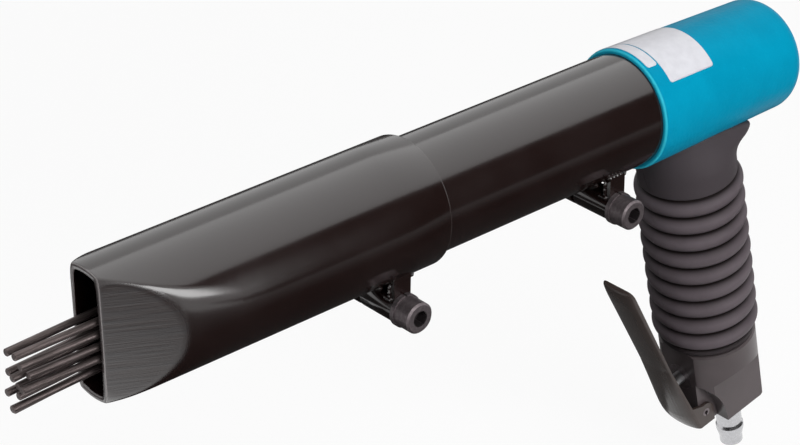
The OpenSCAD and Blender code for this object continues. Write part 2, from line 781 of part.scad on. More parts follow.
// The grip's collar is drawn in sections round a waist and round a tail that fades out downwards
collar_end = rib_first - rib_round + 1.2;
collar_edge = 1.4;
fade_r = waist_d / 2 - tail_set + 1;
tail_arc = 16;
waist_arc = 32;
function fade(s) =
    fade_r + (tail_d / 2 - fade_r) * pow(max(0, (collar_end - s) / (collar_end - tail_edge)), 1.6);
function tail_r(s) = (tail_d / 2 + fade(s) - sqrt(pow(tail_d / 2 - fade(s), 2) + 4)) / 2;
function edge_cut(s) =
    let (over = max(0, s - collar_end + collar_edge))
    collar_edge - sqrt(pow(collar_edge, 2) - pow(over, 2));
function collar_section(s) =
    let (big = waist_d / 2 - edge_cut(s),
         small = max(tail_r(s), fade_r) - edge_cut(s),
         turn = acos((big - small) / tail_set))
    concat(
        [for (j = [0:tail_arc])
            let (t = turn * (2 * j / tail_arc - 1)) [-tail_set - small * cos(t), small * sin(t), s]],
        [for (j = [1:waist_arc - 1])
            let (t = turn + (360 - 2 * turn) * j / waist_arc) [-big * cos(t), big * sin(t), s]]);
module collar() {
    start = 33;
    end = collar_end - 0.2;
    loft([for (s = concat([10, start - 2], [for (k = [0:15]) start + (end - start) * k / 15]))
        collar_section(s)]);
}

// Rubber grip: saddle collar with a tail under the head, ribs and a lip at the foot
module grip_sleeve() {
    edge = 1.5;
    color([0.13, 0.13, 0.13]) difference() {
        on_handle() {
            collar();
            rotate_extrude($fn = 96) {
                polygon([
                    [0, boss_end], [floor_r, boss_end],
                    [floor_r, grip_end - foot_h], [foot_d / 2 - edge, grip_end - foot_h],
                    [foot_d / 2, grip_end - foot_h + edge], [foot_d / 2, grip_end - edge / 2],
                    [foot_d / 2 - edge / 2, grip_end], [0, grip_end]
                ]);
                for (k = [0:rib_count - 1])
                    translate([rib_d / 2 - rib_round, rib_first + k * rib_pitch])
                        circle(r = rib_round, $fn = 48);
            }
        }
        head_form(free_c / 2);
        rod_x(barrel_r + free_c, x_shoulder, x_spigot);
        on_handle() cylinder(r = pipe_d / 2 + set_c, h = grip_end + eps);
    }
}

// Valve block: carries the lever on its tongue, with the throttle valve behind it
module valve_block() {
    chamfer = 0.8;
    r = block_d / 2;
    flat_top = block_foot - flat_h;
    color([0.13, 0.12, 0.12]) on_handle() difference() {
        rotate_extrude($fn = 96) polygon([
            [0, block_top], [r - chamfer, block_top], [r, block_top + chamfer],
            [r, block_foot - chamfer], [r - chamfer, block_foot], [0, block_foot]
        ]);
        for (side = [-1, 1]) {
            translate([-block_d, 0, 0]) rotate([90, 0, 90]) linear_extrude(height = 2 * block_d) polygon([
                [side * flat_w / 2, block_foot + eps], [side * flat_w / 2, flat_top],
                [side * block_d, flat_top - (block_d - flat_w / 2) * tan(shoulder_turn)],
                [side * block_d, block_foot + eps]
            ]);
            translate([pocket_r + pocket_back, side * (tongue_w + block_d) / 2, block_foot])
                rod_y(pocket_r, -block_d / 2, block_d / 2);
        }
        translate([front_flat, -block_d, block_top - eps])
            cube([block_d, 2 * block_d, block_len + 2 * eps]);
        translate([0, 0, block_top - eps])
            cylinder(r = pipe_end_d / 2 + set_c, h = pipe_end_len + free_c + eps);
        translate([seat_set + seat_bore_len / 2, 0, block_top])
            cylinder(d = seat_bore_len - 2, h = stem_s - block_top);
        translate([-valve_bore_end, 0, stem_s]) rotate([0, 90, 0])
            cylinder(d = valve_bore_d, h = valve_bore_end + block_d);
        translate([-nipple_set, 0, block_foot - nipple_end_h - free_c])
            cylinder(r = nipple_end_d / 2 + set_c, h = nipple_end_h + free_c + eps);
        translate([-nipple_set, 0, stem_s])
            cylinder(d = nipple_end_d - 3, h = stem_h);
        translate([pin_set, 0, pin_s]) rod_y(pin_d / 2 + set_c, -block_d, block_d);
    }
}

// The lever in sections up its length: straight sides up to the rim and an arched back
tip_fade = 8;
lever_arc = 16;
function rim_at(u) = lever_rim - max(0, u - fold_set) * tan(fold_turn);
function half_at(u, inset) =
    let (narrow = min(1, max(0, (u - 2 * toe_end) / (fold_set - 2 * toe_end))),
         over = max(0, u - lever_len + tip_round))
    (lever_w + (blade_w - lever_w) * narrow) / 2 - tip_round
    + sqrt(max(0, pow(tip_round - inset, 2) - pow(over, 2)));
function depth_at(u) =
    let (fade_start = lever_len - tip_fade,
         fade = max(0, u - fade_start) / tip_fade)
    u < toe_end ? lever_depth - 0.016 * pow(toe_end - u, 2)
    : u < fold_set ? lever_depth - back_slope * (u - toe_end)
    : u < fade_start ? fold_depth + (tip_depth - fold_depth) * (u - fold_set) / (fade_start - fold_set)
    : tip_depth * (0.35 + 0.65 * sqrt(max(0, 1 - pow(fade, 2))));
function lever_section(u, inset, back) =
    let (half = half_at(u, inset), rise = max(0.1, depth_at(u) - inset))
    concat(
        [[back, -half, u]],
        [for (j = [0:lever_arc])
            let (t = 180 * j / lever_arc) [-rim_at(u) - rise * sin(t), -half * cos(t), u]],
        [[back, half, u]]);
function lever_levels(start, end) = concat(
    [start, -4, -1, 2, toe_end],
    [for (k = [0:3]) 2 * toe_end + (fold_set - 2 * toe_end) * k / 3],
    [for (k = [1:4]) fold_set + (lever_len - tip_fade - fold_set) * k / 4],
    [for (k = [1:6]) lever_len - tip_fade + (end - lever_len + tip_fade) * sin(90 * k / 6)]);
module lever_form(inset) {
    back = 2 * ear_r + inset;
    loft([for (u = lever_levels(-12 - inset, lever_len - inset)) lever_section(u, inset, back)]);
}

// A point of the lever's frame, given forward of the pin and down from it along the handle
function beside_pin(f, s) =
    [-f * cos(lever_open) - s * sin(lever_open), f * sin(lever_open) - s * cos(lever_open)];

// Throttle lever: a pressed trough with a fold across it, a closed tip and two ears
module throttle_lever() {
    foot = pin_h - 0.8;
    top = lever_len + eps;
    edge = 0.15;
    color([0.12, 0.11, 0.11]) on_lever() difference() {
        union() {
            intersection() {
                difference() {
                    lever_form(0);
                    lever_form(lever_sheet);
                }
                // Outline from the side, with ears that end level
                translate([0, lever_w, 0]) rotate([90, 0, 0]) linear_extrude(height = 2 * lever_w) polygon([
                    [edge - rim_at(top), top], [edge - lever_rim, fold_set], [edge - lever_rim, 9],
                    [0, ear_r], beside_pin(-ear_r, 0), beside_pin(-ear_r, foot),
                    beside_pin(2 * crown, foot), [-3 * crown, top]
                ]);
            }
            for (side = [-1, 1])
                translate([0, side * (lever_w - lever_sheet) / 2, 0])
                    rod_y(ear_r, -lever_sheet / 2, lever_sheet / 2);
        }
        rod_y(pin_d / 2 + run_c, -lever_w, lever_w);
    }
}

// Roll pin: a rolled spring steel tube with a slit
module lever_pin() {
    slit = 0.6;
    color([0.25, 0.24, 0.24]) on_handle() translate([pin_set, 0, pin_s]) difference() {
        rod_y(pin_d / 2, -lever_w / 2, lever_w / 2);
        rod_y(pin_d / 4, -lever_w, lever_w);
        translate([-slit / 2, -lever_w, 0]) cube([slit, 2 * lever_w, pin_d]);
    }
}

// Bush that guides the valve stem and forms the valve seat
module valve_bush() {
    flow_d = seat_bore_len - 2.4;
    groove = front_flat - 3.5;
    color([0.72, 0.6, 0.32]) on_stem() difference() {
        translate([0, 0, seat_set]) cylinder(r = valve_bore_d / 2 - set_c, h = front_flat - seat_set);
        translate([0, 0, seat_set - eps]) cylinder(d = seat_d, h = seat_bore_len + eps);
        cylinder(r = stem_d / 2 + run_c, h = front_flat + eps);
        translate([0, 0, seat_set + seat_bore_len / 2]) rotate([0, 90, 0])
            cylinder(d = flow_d, h = valve_bore_d);
        translate([0, 0, groove - small_wire / 2]) cylinder(r = stem_d / 2 + small_wire, h = small_wire);
    }
}

// Seal round the valve stem
module stem_o_ring() {
    color([0.06, 0.06, 0.06]) on_stem() translate([0, 0, front_flat - 3.5])
        o_ring(stem_d / 2, stem_d / 2 + small_wire);
}

// Valve stem with its round push tip and the disc that shuts the seat
module valve_stem() {
    back = seat_set - 1 - poppet_h;
    color([0.7, 0.68, 0.64]) on_stem() {
        translate([0, 0, tip_middle]) sphere(d = stem_d);
        translate([0, 0, back]) cylinder(d = stem_d, h = tip_middle - back);
        translate([0, 0, back]) cylinder(d = poppet_d, h = poppet_h);
    }
}

// Rubber washer between the stem's disc and the seat
module valve_seal() {
    color([0.06, 0.06, 0.06]) on_stem() translate([0, 0, seat_set - 1]) difference() {
        cylinder(d = poppet_d, h = 1 - set_c);
        translate([0, 0, -eps]) cylinder(r = stem_d / 2, h = 1 + 2 * eps);
    }
}

// Spring that shuts the throttle valve and pushes the lever out
module valve_spring() {
    room = valve_bore_end + seat_set - 1 - poppet_h - 2 * set_c;
    color([0.5, 0.5, 0.52]) on_stem() translate([0, 0, -valve_bore_end + set_c])
        coil(poppet_d / 2 - valve_wire, valve_wire, room, valve_turns);
}

// Wire gauze thimble in the air inlet
module inlet_strainer() {
    wall = 0.6;
    r = nipple_end_d / 2 - 1.5 - set_c;
    deep = stem_h - nipple_end_h - valve_bore_d / 2 - 1;
    foot = -nipple_end_h - free_c;
    rows = 2;
    color([0.66, 0.62, 0.5]) on_nipple() translate([0, 0, foot - deep]) difference() {
        cylinder(r = r, h = deep);
        translate([0, 0, wall]) cylinder(r = r - wall, h = deep);
        for (k = [1:rows])
            for (turn = [0:45:315])
                rotate([0, 0, turn]) translate([0, 0, k * deep / (rows + 1)]) rotate([0, 90, 0])
                    cylinder(d = wall * 2, h = 2 * r);
    }
}

// Air nipple: screwed end, hexagon, neck, locking bead, cone and tip
module air_nipple() {
    hex_end = nipple_seal_h + nipple_hex_h;
    neck_end = hex_end + nipple_neck_h;
    bead_end = neck_end + nipple_bead_h;
    cone_end = bead_end + nipple_cone_h;
    tip_end = cone_end + nipple_tip_h;
    edge = 0.8;
    groove = 0.6;
    color([0.78, 0.78, 0.79]) on_nipple() difference() {
        union() {
            rotate_extrude() polygon([
                [0, -nipple_end_h], [nipple_end_d / 2 - edge, -nipple_end_h],
                [nipple_end_d / 2, -nipple_end_h + edge], [nipple_end_d / 2, nipple_seal_h],
                [nipple_neck_d / 2, nipple_seal_h], [nipple_neck_d / 2, neck_end - edge * 2],
                [nipple_neck_d / 2 - groove, neck_end - edge], [nipple_bead_d / 2, neck_end + edge / 2],
                [nipple_bead_d / 2, bead_end], [nipple_tip_d / 2, cone_end],
                [nipple_tip_d / 2, tip_end - edge], [nipple_tip_d / 2 - edge, tip_end], [0, tip_end]
            ]);
            translate([0, 0, nipple_seal_h]) cylinder(d = nipple_hex / cos(30), h = nipple_hex_h, $fn = 6);
        }
        translate([0, 0, -nipple_end_h - eps])
            cylinder(d = nipple_bore_d, h = nipple_end_h + tip_end + 2 * eps);
    }
}

// Bonded seal under the nipple's hexagon
module nipple_seal() {
    color([0.3, 0.3, 0.3]) on_nipple() difference() {
        cylinder(d = nipple_hex / cos(30), h = nipple_seal_h);
        translate([0, 0, -eps]) cylinder(r = nipple_end_d / 2 + set_c, h = nipple_seal_h + 2 * eps);
    }
}

head_housing();
cylinder_liner();
cylinder_o_ring();
piston();
valve_box();
valve_disc();
valve_cover();
anvil_bush();
buffer_ring();
anvil();
needle_holder();
return_spring();
spring_seat();
barrel_tube();
clamp_screw(barrel_r, barrel_screw_x);  // barrel_clamp_screw
lock_washer(barrel_r, barrel_screw_x);  // barrel_lock_washer
front_tube();
clamp_screw(front_d / 2, front_screw_x);  // front_clamp_screw
lock_washer(front_d / 2, front_screw_x);  // front_lock_washer
handle_tube();
handle_o_rings();
grip_sleeve();
valve_block();
throttle_lever();
lever_pin();
valve_bush();
stem_o_ring();
valve_stem();
valve_seal();
valve_spring();
inlet_strainer();
air_nipple();
nipple_seal();
for (c = [0:2])
    for (r = [0:needle_rows - 1])
        needle(c, r);
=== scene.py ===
import math

import bmesh
import bpy
from mathutils import Matrix, Vector


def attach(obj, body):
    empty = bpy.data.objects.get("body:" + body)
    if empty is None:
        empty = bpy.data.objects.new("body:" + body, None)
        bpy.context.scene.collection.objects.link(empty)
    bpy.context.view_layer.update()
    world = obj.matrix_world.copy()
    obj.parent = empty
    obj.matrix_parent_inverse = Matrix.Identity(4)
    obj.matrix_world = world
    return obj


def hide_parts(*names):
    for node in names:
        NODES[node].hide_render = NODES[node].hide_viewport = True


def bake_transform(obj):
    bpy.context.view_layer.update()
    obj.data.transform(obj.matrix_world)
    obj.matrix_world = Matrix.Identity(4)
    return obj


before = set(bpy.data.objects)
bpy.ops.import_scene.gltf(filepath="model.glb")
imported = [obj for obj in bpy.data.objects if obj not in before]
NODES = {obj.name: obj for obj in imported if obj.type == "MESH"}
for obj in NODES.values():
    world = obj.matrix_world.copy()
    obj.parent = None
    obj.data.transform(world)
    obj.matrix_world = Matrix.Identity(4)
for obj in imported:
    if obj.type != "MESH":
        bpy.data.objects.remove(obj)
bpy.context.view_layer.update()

# Places shared with the CAD source, in metres
MM = 0.001
RAKE = math.radians(11.9)
X_HANDLE = -54.65 * MM
X_MOUTH = -357.4 * MM

# Sizes in millimetres, as in the CAD source apart from the grip's tail and the nose's wall
HEAD = dict(rear_r=24.6, taper=1.7, length=88.4, rim_x=-87.9)
BARREL = dict(r=24.4, screw_x=-109.6)
FRONT = dict(r=27.0, bore_r=24.55, length=150.5, mouth=8.9, slope=0.5485, soft_at=29.0, soft_slope=0.2493,
             wall=1.9, slit=1.8, slit_len=38.0, lug_r=6.25, lug_half=20.0, lug_bore=4.1, lug_sink=0.4,
             screw_x=-226.3)
GRIP = dict(rib_r=23.9, rib_round=4.85, rib_pitch=9.3, rib_first=49.5, ribs=9, waist_r=21.9, tail_r=19.8,
            tail_set=14.0, tail_edge=29.0, foot_r=21.7, foot_h=3.1, bore_r=17.1, collar_end=45.85, edge=1.4)
GRIP["rib_last"] = GRIP["rib_first"] + (GRIP["ribs"] - 1) * GRIP["rib_pitch"]
GRIP["end"] = GRIP["rib_last"] + GRIP["rib_round"] + GRIP["foot_h"]

# Handle frame: s down the handle from the barrel's axis, f forward of the handle's axis
HANDLE = Matrix.Translation((X_HANDLE, 0, 0)) @ Matrix.Rotation(math.pi - RAKE, 4, "Y")


def head_radius(x):
    """Radius of the head's tapered side."""
    return HEAD["rear_r"] - HEAD["taper"] * x / HEAD["length"]


def screw_place(tube):
    """The x and z of the clamp screw's axis under a tube."""
    return tube["screw_x"], -tube["r"] - FRONT["lug_r"] + FRONT["lug_sink"]


def placed(name, data):
    """A new object in the scene."""
    o = bpy.data.objects.new(name, data)
    bpy.context.scene.collection.objects.link(o)
    return o


# Camera at the photograph's viewing angle
CAM_AZ, CAM_EL, CAM_ROLL = (math.radians(a) for a in (-40.808, 28.725, -0.546))
CAM_PLACE = Vector((-0.78639, -0.66728, 0.47442))
SENSOR = 36.0
LENS = 115.88


def make_camera():
    flat = math.cos(CAM_EL)
    back = Vector((math.sin(CAM_AZ) * flat, -math.cos(CAM_AZ) * flat, math.sin(CAM_EL)))
    right = Vector((0, 0, 1)).cross(back).normalized()
    up = back.cross(right)
    c, s = math.cos(CAM_ROLL), math.sin(CAM_ROLL)
    x_axis = c * right + s * up
    y_axis = -s * right + c * up
    data = bpy.data.cameras.new("camera")
    data.sensor_width = SENSOR
    data.lens = LENS
    data.clip_start, data.clip_end = 0.01, 50
    cam = placed("camera", data)
    cam.matrix_world = Matrix((
        (x_axis.x, y_axis.x, back.x, CAM_PLACE.x),
        (x_axis.y, y_axis.y, back.y, CAM_PLACE.y),
        (x_axis.z, y_axis.z, back.z, CAM_PLACE.z),
        (0, 0, 0, 1),
    ))
    bpy.context.scene.camera = cam


# Materials


def start(name):
    """A new material with its tree, its shader and its object coordinates."""
    m = bpy.data.materials.new(name)
    m.use_nodes = True
    tree = m.node_tree
    shader = tree.nodes["Principled BSDF"]
    place = tree.nodes.new("ShaderNodeTexCoord").outputs["Object"]
    return m, tree, shader, place


def add(tree, kind, inputs=None, **settings):
    """A node with its settings and its inputs, which are values or sockets to link."""
    n = tree.nodes.new(kind)
    for key, value in settings.items():
        setattr(n, key, value)
    for key, value in (inputs or {}).items():
        if isinstance(value, bpy.types.NodeSocket):
            tree.links.new(value, n.inputs[key])
        else:
            n.inputs[key].default_value = value
    return n


def noise(tree, place, scale, detail=3.0, rough=0.5):
    return add(tree, "ShaderNodeTexNoise",
               {"Vector": place, "Scale": scale, "Detail": detail, "Roughness": rough}).outputs["Fac"]


def stretched(tree, place, scale):
    return add(tree, "ShaderNodeMapping", {"Vector": place, "Scale": scale}).outputs["Vector"]


def span(tree, value, low, high, to_low=0.0, to_high=1.0):
    return add(tree, "ShaderNodeMapRange",
               {"Value": value, "From Min": low, "From Max": high, "To Min": to_low, "To Max": to_high},
               ).outputs["Result"]


def math_node(tree, how, a, b=0.0):
    return add(tree, "ShaderNodeMath", {0: a, 1: b}, operation=how).outputs[0]


def colours(tree, fac, low, high):
    n = add(tree, "ShaderNodeMix", {"Factor": fac}, data_type="RGBA")
    for socket, value in ((n.inputs[6], low), (n.inputs[7], high)):
        if isinstance(value, bpy.types.NodeSocket):
            tree.links.new(value, socket)
        else:
            socket.default_value = (*value, 1)
    return n.outputs[2]


def bump(tree, height, strength, distance, normal=None):
    inputs = {"Height": height, "Strength": strength, "Distance": distance}
    if normal is not None:
        inputs["Normal"] = normal
    return add(tree, "ShaderNodeBump", inputs).outputs["Normal"]


def put(tree, shader, **sockets):
    """Sets or links a shader's inputs, which are named with underscores for spaces."""
    for key, value in sockets.items():
        name = key.replace("_", " ")
        if isinstance(value, bpy.types.NodeSocket):
            tree.links.new(value, shader.inputs[name])
        else:
            shader.inputs[name].default_value = value


def turquoise_paint():
    m, t, s, place = start("turquoise_paint")
    cells = add(t, "ShaderNodeTexVoronoi", {"Vector": place, "Scale": 620.0, "Smoothness": 0.6},
                feature="SMOOTH_F1").outputs["Distance"]
    fine = noise(t, place, 1700.0, 2)
    cloud = noise(t, place, 60.0, 4)
    base = colours(t, span(t, cloud, 0.35, 0.65), (0.0002, 0.246, 0.4), (0.0006, 0.274, 0.44))
    base = colours(t, span(t, fine, 0.6, 0.8, 0, 0.4), base, (0.004, 0.37, 0.57))
    # Painted highlight: a paler band along the rim's front edge stands in for the light that the rounded
    # edge catches
    along = add(t, "ShaderNodeSeparateXYZ", {"Vector": place}).outputs["X"]
    rim_highlight_distance = math_node(t, "ABSOLUTE", math_node(t, "ADD", along, -HEAD["rim_x"] * MM))
    base = colours(t, span(t, rim_highlight_distance, 0.55 * MM, 0.15 * MM, 0, 0.7), base, (0.05, 0.6, 0.74))
    normal = bump(t, cells, 0.22, 0.0004)
    normal = bump(t, fine, 0.12, 0.0002, normal)
    put(t, s, Base_Color=base, Roughness=span(t, fine, 0.3, 0.7, 0.3, 0.42), Normal=normal)
    put(t, s, Specular_IOR_Level=0.03)
    return m


def black_enamel(name, ground=False):
    """Gloss enamel, with or without the front tube's ground nose and painted highlights along its mouth and
    rear edges.
    """
    m, t, s, place = start(name)
    peel = noise(t, place, 260.0, 2)
    dust = noise(t, place, 900.0, 4)
    cloud = noise(t, place, 35.0, 4)
    rough = span(t, cloud, 0.3, 0.7, 0.13, 0.18)
    base = colours(t, span(t, cloud, 0.35, 0.65), (0.0085, 0.0035, 0.003), (0.011, 0.0055, 0.005))
    base = colours(t, span(t, dust, 0.68, 0.82, 0, 0.12), base, (0.05, 0.045, 0.048))
    normal = bump(t, peel, 0.03, 0.0004)
    if ground:
        where = add(t, "ShaderNodeSeparateXYZ", {"Vector": place}).outputs
        run = math_node(t, "SUBTRACT", where["X"], X_MOUTH)
        plane = math_node(t, "MULTIPLY_ADD", run, FRONT["slope"])
        plane.node.inputs[2].default_value = FRONT["mouth"] * MM
        under = math_node(t, "SUBTRACT", plane, math_node(t, "ABSOLUTE", where["Y"]))
        on_nose = span(t, run, (FRONT["soft_at"] + 4) * MM, FRONT["soft_at"] * MM)
        mask = math_node(t, "MULTIPLY", span(t, under, 0.6 * MM, 0.15 * MM), on_nose)
        strokes = noise(t, stretched(t, place, (30.0, 30.0, 900.0)), 1.0, 5, 0.65)
        normal = bump(t, math_node(t, "MULTIPLY", strokes, mask), 0.35, 0.0003, normal)
        scored = math_node(t, "MULTIPLY", span(t, strokes, 0.4, 0.7), mask)
        base = colours(t, scored, base, (0.008, 0.006, 0.007))
        rough = add(t, "ShaderNodeMix", {"Factor": mask, "A": rough, "B": 0.28}).outputs["Result"]
        # Painted highlight: a pale line along the edge of the mouth
        mouth_highlight = span(t, run, 0.4 * MM, 0.15 * MM)
        base = colours(t, mouth_highlight, base, (0.17, 0.15, 0.15))
        # Painted highlight: a faint pale line along the tube's rear edge
        rear_highlight = span(t, run, (FRONT["length"] - 0.8) * MM, (FRONT["length"] - 0.4) * MM)
        base = colours(t, rear_highlight, base, (0.036, 0.028, 0.027))
    put(t, s, Base_Color=base, Roughness=rough, Normal=normal)
    put(t, s, Specular_IOR_Level=0.85)
    return m


def satin_black(name, low, high, shine, rough):
    m, t, s, place = start(name)
    fine = noise(t, place, 1500.0, 3)
    cloud = noise(t, place, 45.0, 4)
    base = colours(t, span(t, cloud, 0.35, 0.65), low, high)
    put(t, s, Base_Color=base, Roughness=span(t, cloud, 0.3, 0.7, rough, rough + 0.08),
        Normal=bump(t, fine, 0.06, 0.0002))
    put(t, s, Specular_IOR_Level=shine)
    return m


def length_of(tree, a, b):
    """The long side of a right triangle, as a socket."""
    both = math_node(tree, "ADD", math_node(tree, "MULTIPLY", a, a), math_node(tree, "MULTIPLY", b, b))
    return math_node(tree, "SQRT", both)


def grip_rubber():
    """Rubber with painted shade, near black toward the bottom of each groove between the ribs, and darker
    on the collar.
    """
    m, t, s, place = start("grip_rubber")
    fine = noise(t, place, 2600.0, 3)
    cloud = noise(t, place, 55.0, 5, 0.6)
    base = colours(t, span(t, cloud, 0.35, 0.65), (0.098, 0.081, 0.09), (0.118, 0.098, 0.109))
    local = add(t, "ShaderNodeMapping", {"Vector": place, "Location": (-X_HANDLE, 0, 0)}).outputs["Vector"]
    local = add(t, "ShaderNodeMapping", {"Vector": local, "Rotation": (0, RAKE, 0)}).outputs["Vector"]
    axis = add(t, "ShaderNodeSeparateXYZ", {"Vector": local}).outputs
    groove_r, shade_ends_r = 21.2 * MM, 23.7 * MM
    collar_low, ribs_high = -44.3 * MM, -45.4 * MM
    # Painted shade: the rubber fades to near black from the rib crests down into the grooves
    toward_crest = span(t, length_of(t, axis["X"], axis["Y"]), groove_r, shade_ends_r)
    ribbed = span(t, axis["Z"], collar_low, ribs_high)
    groove_shade = math_node(t, "MULTIPLY", math_node(t, "SUBTRACT", 1.0, toward_crest), ribbed)
    base = colours(t, math_node(t, "SUBTRACT", 1.0, ribbed), base, (0.058, 0.049, 0.054))
    base = colours(t, groove_shade, base, (0.012, 0.009, 0.009))
    put(t, s, Base_Color=base, Roughness=span(t, cloud, 0.3, 0.7, 0.46, 0.58),
        Normal=bump(t, fine, 0.12, 0.0003))
    put(t, s, Specular_IOR_Level=0.1)
    return m


def dark_steel(name, low, high, rough, grain, scale, holes=()):
    """Dark drawn or oxidised steel with stretched grain, and painted shade in the sockets round lines along
    Y.
    """
    m, t, s, place = start(name)
    streaks = noise(t, stretched(t, place, grain), scale, 4, 0.6)
    cloud = noise(t, place, 70.0, 4)
    base = colours(t, span(t, streaks, 0.35, 0.68), low, high)
    if holes:
        where = add(t, "ShaderNodeSeparateXYZ", {"Vector": place}).outputs
        socket_r, socket_edge = 3.35 * MM, 3.5 * MM
        far = 1.0
        for x, z in holes:
            off_x = math_node(t, "SUBTRACT", where["X"], x * MM)
            off_z = math_node(t, "SUBTRACT", where["Z"], z * MM)
            far = math_node(t, "MINIMUM", length_of(t, off_x, off_z), far)
        # Painted shade: darker inside each screw's socket, round the lines along Y given in holes
        base = colours(t, span(t, far, socket_r, socket_edge), (0.05, 0.042, 0.044), base)
    put(t, s, Base_Color=base, Metallic=0.75, Normal=bump(t, streaks, 0.12, 0.0002),
        Roughness=span(t, cloud, 0.3, 0.7, rough - 0.06, rough + 0.08))
    return m


def bright_metal(name, low, high, rough):
    m, t, s, place = start(name)
    fine = noise(t, place, 800.0, 4)
    base = colours(t, span(t, fine, 0.3, 0.7), low, high)
    put(t, s, Base_Color=base, Metallic=1.0, Normal=bump(t, fine, 0.08, 0.0002),
        Roughness=span(t, fine, 0.3, 0.7, rough - 0.05, rough + 0.07))
    return m


def seal_rubber():
    m, t, s, place = start("seal_rubber")
    fine = noise(t, place, 1200.0, 3)
    put(t, s, Base_Color=colours(t, fine, (0.012, 0.012, 0.012), (0.024, 0.024, 0.024)), Roughness=0.5,
        Normal=bump(t, fine, 0.1, 0.0002))
    return m


def pale_sticker():
    m, t, s, place = start("pale_sticker")
    cloud = noise(t, place, 300.0, 4)
    base = colours(t, span(t, cloud, 0.3, 0.7), (0.56, 0.56, 0.6), (0.62, 0.62, 0.66))
    put(t, s, Base_Color=base, Roughness=0.32, Normal=bump(t, cloud, 0.03, 0.0002))
    return m


def dress_nodes():
    """Gives every CAD node its material, and returns the materials by node."""
    enamel = black_enamel("black_enamel")
    ground = black_enamel("ground_enamel", ground=True)
    oxide = dark_steel("black_oxide", (0.14, 0.118, 0.124), (0.21, 0.18, 0.188), rough=0.42,
                       grain=(1, 1, 1), scale=700.0, holes=(screw_place(BARREL), screw_place(FRONT)))
    satin = satin_black("satin_black", (0.068, 0.055, 0.057), (0.086, 0.07, 0.073), shine=0.3, rough=0.28)
    gloss = satin_black("lever_black", (0.046, 0.033, 0.029), (0.056, 0.041, 0.037), shine=0.4, rough=0.2)
    rubber = seal_rubber()
    needle = dark_steel("needle_steel", (0.05, 0.04, 0.038), (0.125, 0.1, 0.098), rough=0.42,
                        grain=(0.06, 1, 1), scale=1500.0)
    steel = bright_metal("ground_steel", (0.45, 0.45, 0.46), (0.6, 0.6, 0.61), rough=0.3)
    spring = bright_metal("spring_steel", (0.2, 0.2, 0.21), (0.32, 0.32, 0.33), rough=0.35)
    bronze = bright_metal("bronze", (0.42, 0.27, 0.1), (0.6, 0.42, 0.18), rough=0.32)
    zinc = bright_metal("zinc", (0.5, 0.5, 0.51), (0.6, 0.6, 0.62), rough=0.22)
    wear = {
        "head_housing": turquoise_paint(), "barrel_tube": enamel, "front_tube": ground,
        "barrel_clamp_screw": oxide, "front_clamp_screw": oxide, "barrel_lock_washer": oxide,
        "front_lock_washer": oxide, "lever_pin": oxide, "valve_block": satin, "throttle_lever": gloss,
        "grip_sleeve": grip_rubber(), "cylinder_o_ring": rubber, "buffer_ring": rubber,
        "handle_o_rings": rubber, "stem_o_ring": rubber, "valve_seal": rubber, "nipple_seal": rubber,
        "air_nipple": zinc, "return_spring": spring, "valve_spring": spring, "anvil_bush": bronze,
        "valve_bush": oxide, "inlet_strainer": bronze,
    }
    for name, o in NODES.items():
        is_needle = name.startswith("needle_") and name != "needle_holder"
        o.data.materials.clear()
        o.data.materials.append(needle if is_needle else wear.get(name, steel))
    return wear


# Pieces that the scene draws finer than the CAD does


def soft_min(a, b, k):
    """The lesser of two sizes, blended where they differ by less than k."""
    h = min(1.0, max(0.0, 0.5 + 0.5 * (b - a) / k))
    return b + (a - b) * h - k * h * (1 - h)


def soft_max(a, b, k):
    return -soft_min(-a, -b, k)


def smooth_step(value, low, high):
    h = min(1.0, max(0.0, (value - low) / (high - low)))
    return h * h * (3 - 2 * h)


def hump(off, width):
    """A bell curve that is one at its middle."""
    return math.exp(-(off / width) ** 2)


def mesh_object(name, points, faces, material):
    """A smooth object from points in millimetres and faces."""
    mesh = bpy.data.meshes.new(name)
    mesh.from_pydata([Vector(p) * MM for p in points], [], faces)
    mesh.materials.append(material)
    mesh.polygons.foreach_set("use_smooth", [True] * len(mesh.polygons))
    mesh.update()
    return placed(name, mesh)


def grid_faces(rows, columns, closed_rows=True, flip=False, skip=()):
    """Quads between rows of points that close round on themselves."""
    faces = []
    for i in range(rows if closed_rows else rows - 1):
        for j in range(columns):
            if (i, j) in skip:
                continue
            a, b = i * columns + j, i * columns + (j + 1) % columns
            c, d = (((i + 1) % rows) * columns + k for k in ((j + 1) % columns, j))
            faces.append((a, d, c, b) if flip else (a, b, c, d))
    return faces


def rod_faces(steps, sides):
    """Quads round a rod and a face at each of its ends."""
    ends = [tuple(range(sides - 1, -1, -1)), tuple((steps - 1) * sides + k for k in range(sides))]
    return grid_faces(steps, sides, closed_rows=False) + ends


# Grip, drawn round the handle's axis, with soft form that the CAD source doesn't have
TAIL_FADE, TAIL_POWER = 8.8, 1.25
NARROW, NARROW_FROM, NARROW_RUN = 3.8, 36, 18
SADDLE_GAP = 0.15
LIP, TAIL_LIP, TAIL_TURN = 0.7, 1.9, (110, 138)
CREASE_DEEP, CREASE_WIDE = 1.7, 0.5
NOTCH_DEEP, NOTCH_AT, NOTCH_WIDE = 1.6, 45.2, 0.6
SEAM_HIGH, SEAM_WIDE = 0.09, 0.55
MARK_DEEP, MARK_WIDE, MARK_TOP, MARK_END, MARK_FADE = 0.22, 0.5, 33, 43.5, 2
FINE_FROM, ROUND_FROM, RIBS_FROM = 33.6, 36.5, 44.7
NICK_WIDE, NICK_LONG, NICK_SPREAD = 0.9, 0.7, 2.2
# For each rib: the nick's share of the spread, its turn in degrees and its depth
NICKS = ((0.4, 1.2, 0.3), (-0.5, -0.9, 0.42), (0.2, 0.6, 0.5), (0.6, -0.4, 0.28), (-0.2, 1.0, 0.34),
         (0.3, -1.1, 0.25), (-0.4, 0.5, 0.45), (0.5, 1.3, 0.3), (0.0, -0.6, 0.38))


